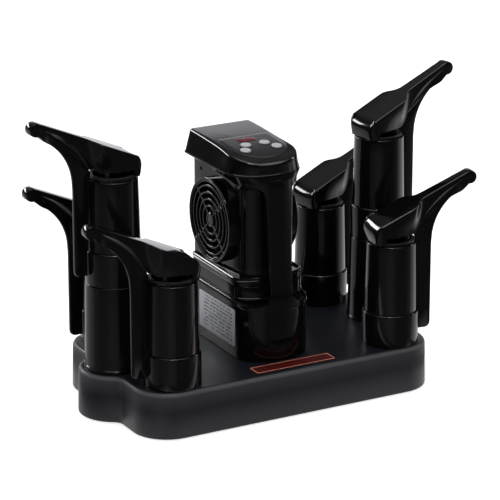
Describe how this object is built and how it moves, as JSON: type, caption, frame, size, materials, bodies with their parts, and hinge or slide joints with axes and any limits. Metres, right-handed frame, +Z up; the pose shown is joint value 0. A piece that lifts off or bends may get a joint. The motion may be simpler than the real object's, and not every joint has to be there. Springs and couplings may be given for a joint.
{
  "type": "boot dryer",
  "caption": "Boot dryer: a moulded plinth with a central fan and heater tower, and swivelling tapered boot trees with hooked hanger arms and fins at both ends",
  "frame": {"origin": "on the surface that the dryer stands on, under the middle of the plinth", "axes": "+X along the plinth's length, front (badge and buttons' side) at -Y, +Z up"},
  "size_m": [0.485, 0.203, 0.3098],
  "materials": {
    "gloss_black": "glossy moulded",
    "base_black": "fine-textured satin",
    "inner_black": "matte moulded",
    "foot_rubber": "matte",
    "screw_steel": "plated",
    "badge_red": "printed film",
    "label_silver": "printed foil",
    "insulator": "ceramic-like",
    "heater_metal": "bare",
    "circuit_board": "solder mask",
    "window_red": "tinted, polished",
    "overlay_black": "satin film",
    "motor_copper": "varnished windings",
    "button_silver": "silver paint"
  },
  "bodies": {
    "base": {"base_shell": "base_black", "base_floor": "inner_black", "base_feet": "foot_rubber", "base_screws": "screw_steel", "front_badge": "badge_red", "pedestal": "gloss_black", "pedestal_screws": "screw_steel", "rating_label": "label_silver", "power_inlet": "inner_black", "heater_frame": "insulator", "heater_block": "heater_metal", "thermal_cutout": "insulator", "power_board": "circuit_board", "module_base": "gloss_black", "module_housing": "gloss_black", "front_strap": "gloss_black", "fan_bezel_left": "gloss_black", "fan_bezel_right": "gloss_black", "fan_guard_left": "gloss_black", "fan_guard_right": "gloss_black", "fan_frame_left": "inner_black", "fan_frame_right": "inner_black", "fan_motor_left": "motor_copper", "fan_motor_right": "motor_copper", "head_tray": "gloss_black", "head_cover": "gloss_black", "control_overlay": "overlay_black", "display_window": "window_red", "display_module": "inner_black", "control_board": "circuit_board"},
    "extension_left": {"extension_left": "gloss_black"},
    "extension_right": {"extension_right": "gloss_black"},
    "cuff_front_left": {"cuff_front_left": "gloss_black"},
    "tree_front_left": {"tube_front_left": "gloss_black", "hanger_front_left": "gloss_black"},
    "cuff_mid_left": {"cuff_mid_left": "gloss_black"},
    "tree_mid_left": {"tube_mid_left": "gloss_black", "hanger_mid_left": "gloss_black"},
    "cuff_back_left": {"cuff_back_left": "gloss_black"},
    "tree_back_left": {"tube_back_left": "gloss_black", "hanger_back_left": "gloss_black"},
    "cuff_front_right": {"cuff_front_right": "gloss_black"},
    "tree_front_right": {"tube_front_right": "gloss_black", "hanger_front_right": "gloss_black"},
    "cuff_mid_right": {"cuff_mid_right": "gloss_black"},
    "tree_mid_right": {"tube_mid_right": "gloss_black", "hanger_mid_right": "gloss_black"},
    "cuff_back_right": {"cuff_back_right": "gloss_black"},
    "tree_back_right": {"tube_back_right": "gloss_black", "hanger_back_right": "gloss_black"},
    "impeller_left": {"impeller_left": "inner_black"},
    "impeller_right": {"impeller_right": "inner_black"},
    "button_power": {"button_power": "button_silver"},
    "button_timer": {"button_timer": "button_silver"},
    "button_heat": {"button_heat": "button_silver"},
    "button_mode": {"button_mode": "button_silver"}
  },
  "joints": [
    {"name": "lift_extension_left", "type": "slide", "parent": "base", "child": "extension_left", "axis": [0, 0, 1], "range_m": [0, 0.04]},
    {"name": "lift_extension_right", "type": "slide", "parent": "base", "child": "extension_right", "axis": [0, 0, 1], "range_m": [0, 0.04]},
    {"name": "lift_front_left", "type": "slide", "parent": "base", "child": "cuff_front_left", "axis": [0, 0, 1], "range_m": [0, 0.04]},
    {"name": "swivel_front_left", "type": "hinge", "parent": "cuff_front_left", "child": "tree_front_left", "pos_m": [-0.124, -0.071, 0.068], "axis": [0, 0, 1], "range_deg": [-20, 45]},
    {"name": "lift_mid_left", "type": "slide", "parent": "extension_left", "child": "cuff_mid_left", "axis": [0, 0, 1], "range_m": [0, 0.04]},
    {"name": "swivel_mid_left", "type": "hinge", "parent": "cuff_mid_left", "child": "tree_mid_left", "pos_m": [-0.151, 0, 0.1566], "axis": [0, 0, 1], "range_deg": [-30, 30]},
    {"name": "lift_back_left", "type": "slide", "parent": "base", "child": "cuff_back_left", "axis": [0, 0, 1], "range_m": [0, 0.04]},
    {"name": "swivel_back_left", "type": "hinge", "parent": "cuff_back_left", "child": "tree_back_left", "pos_m": [-0.124, 0.071, 0.068], "axis": [0, 0, 1], "range_deg": [-45, 20]},
    {"name": "lift_front_right", "type": "slide", "parent": "base", "child": "cuff_front_right", "axis": [0, 0, 1], "range_m": [0, 0.04]},
    {"name": "swivel_front_right", "type": "hinge", "parent": "cuff_front_right", "child": "tree_front_right", "pos_m": [0.124, -0.071, 0.068], "axis": [0, 0, 1], "range_deg": [-45, 20]},
    {"name": "lift_mid_right", "type": "slide", "parent": "extension_right", "child": "cuff_mid_right", "axis": [0, 0, 1], "range_m": [0, 0.04]},
    {"name": "swivel_mid_right", "type": "hinge", "parent": "cuff_mid_right", "child": "tree_mid_right", "pos_m": [0.151, 0, 0.1566], "axis": [0, 0, 1], "range_deg": [-30, 30]},
    {"name": "lift_back_right", "type": "slide", "parent": "base", "child": "cuff_back_right", "axis": [0, 0, 1], "range_m": [0, 0.04]},
    {"name": "swivel_back_right", "type": "hinge", "parent": "cuff_back_right", "child": "tree_back_right", "pos_m": [0.124, 0.071, 0.068], "axis": [0, 0, 1], "range_deg": [-20, 45]},
    {"name": "spin_left", "type": "hinge", "parent": "base", "child": "impeller_left", "pos_m": [-0.022, 0.012, 0.1773], "axis": [-1, 0, 0], "continuous": true},
    {"name": "spin_right", "type": "hinge", "parent": "base", "child": "impeller_right", "pos_m": [0.022, 0.012, 0.1773], "axis": [1, 0, 0], "continuous": true},
    {"name": "press_power", "type": "slide", "parent": "base", "child": "button_power", "axis": [0, -0.0349, 0.9994], "range_m": [-0.0008, 0], "stiffness_N_per_m": 300, "springref_m": 0.0004},
    {"name": "press_timer", "type": "slide", "parent": "base", "child": "button_timer", "axis": [0, -0.0349, 0.9994], "range_m": [-0.0008, 0], "stiffness_N_per_m": 300, "springref_m": 0.0004},
    {"name": "press_heat", "type": "slide", "parent": "base", "child": "button_heat", "axis": [0, -0.1564, 0.9877], "range_m": [-0.0008, 0], "stiffness_N_per_m": 300, "springref_m": 0.0004},
    {"name": "press_mode", "type": "slide", "parent": "base", "child": "button_mode", "axis": [0, -0.1564, 0.9877], "range_m": [-0.0008, 0], "stiffness_N_per_m": 300, "springref_m": 0.0004}
  ]
}
